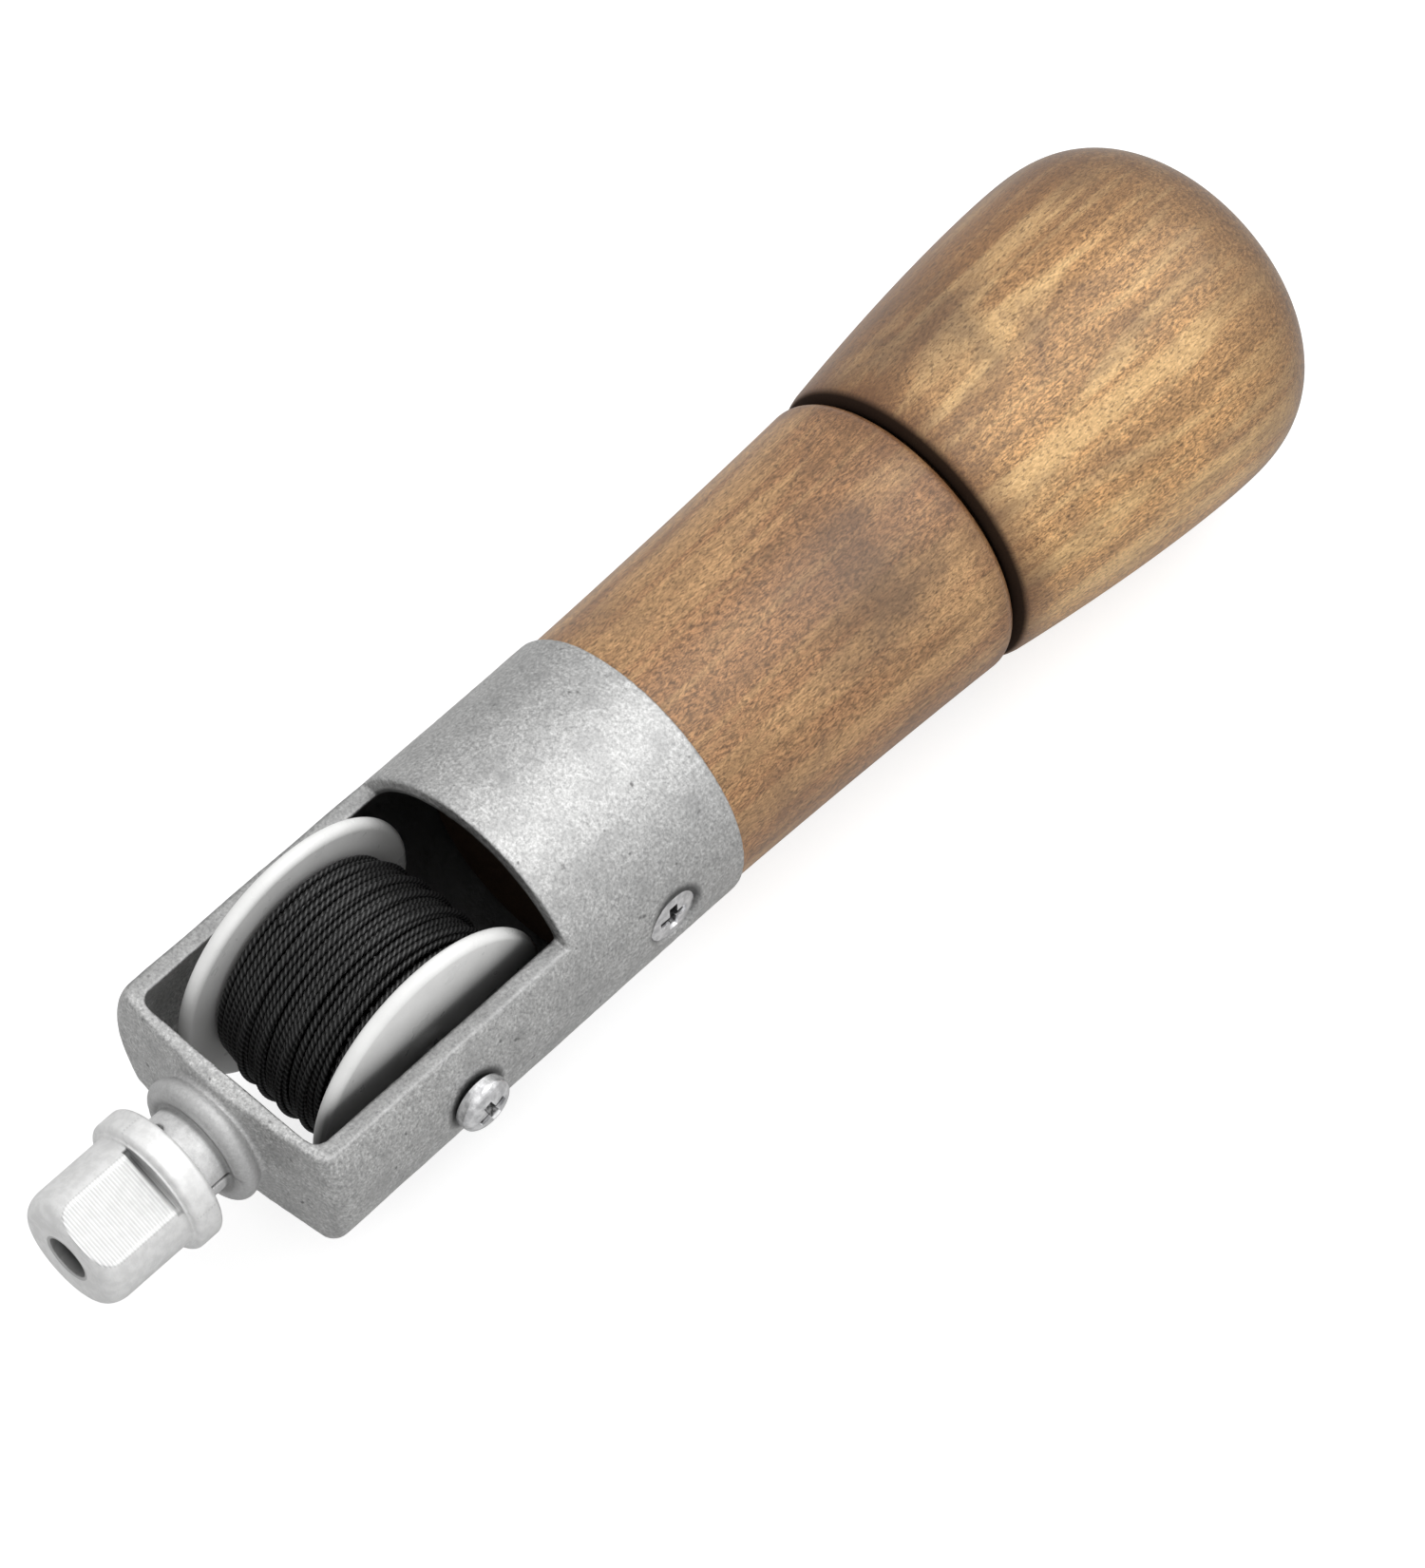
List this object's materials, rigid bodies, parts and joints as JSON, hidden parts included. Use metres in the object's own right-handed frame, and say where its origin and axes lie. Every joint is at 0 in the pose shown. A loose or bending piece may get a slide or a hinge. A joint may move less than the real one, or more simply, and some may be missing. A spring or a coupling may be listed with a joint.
{
  "type": "sewing awl",
  "caption": "Hand-held lockstitch sewing awl: cast yoke with a thread spool, a needle chuck with a clamping nut, and a hollow wooden handle that stores needles and a wrench.",
  "frame": {"origin": "on the tool's long axis, half way between the nose and the end of the cap", "axes": "+Y runs from the nose to the end of the handle cap, +X points out of the head of the spool's axle screw, +Z points out of the upper opening of the spool window"},
  "size_m": [0.0356, 0.145, 0.0356],
  "materials": {
    "cast_metal": "matte tumbled casting",
    "turned_metal": "bright turned and milled",
    "spool_plastic": "glossy white",
    "thread": "twisted waxed cord",
    "plated_steel": "polished plating",
    "wood": "stained, satin lacquer",
    "tool_steel": "satin"
  },
  "bodies": {
    "handle": {"frame": "cast_metal", "ferrule_screw_right": "plated_steel", "ferrule_screw_left": "plated_steel", "handle_barrel": "wood"},
    "spool": {"spool": "spool_plastic", "thread_winding": "thread"},
    "nut": {"chuck_nut": "turned_metal"},
    "axle": {"axle_screw": "plated_steel"},
    "stored_tools": {"wrench": "tool_steel", "needle_fine": "tool_steel", "needle_coarse": "tool_steel"},
    "cap": {"handle_cap": "wood"}
  },
  "joints": [
    {"name": "spool_spin", "type": "hinge", "parent": "handle", "child": "spool", "pos_m": [0, -0.0381, 0], "axis": [1, 0, 0], "continuous": true},
    {"name": "nut_unscrew", "type": "slide", "parent": "handle", "child": "nut", "axis": [0, -1, 0], "range_m": [0, 0.011]},
    {"name": "axle_draw", "type": "slide", "parent": "handle", "child": "axle", "axis": [1, 0, 0], "range_m": [0, 0.0315]},
    {"name": "tool_draw", "type": "slide", "parent": "handle", "child": "stored_tools", "axis": [0, 1, 0], "range_m": [0, 0.0121]},
    {"name": "cap_unscrew", "type": "hinge", "parent": "stored_tools", "child": "cap", "pos_m": [0, 0.0298, 0], "axis": [0, 1, 0], "range_deg": [0, 1080]}
  ],
  "couplings": [
    {"joint": "tool_draw", "follows": "cap_unscrew", "m_per_rad": 0.00063662}
  ]
}
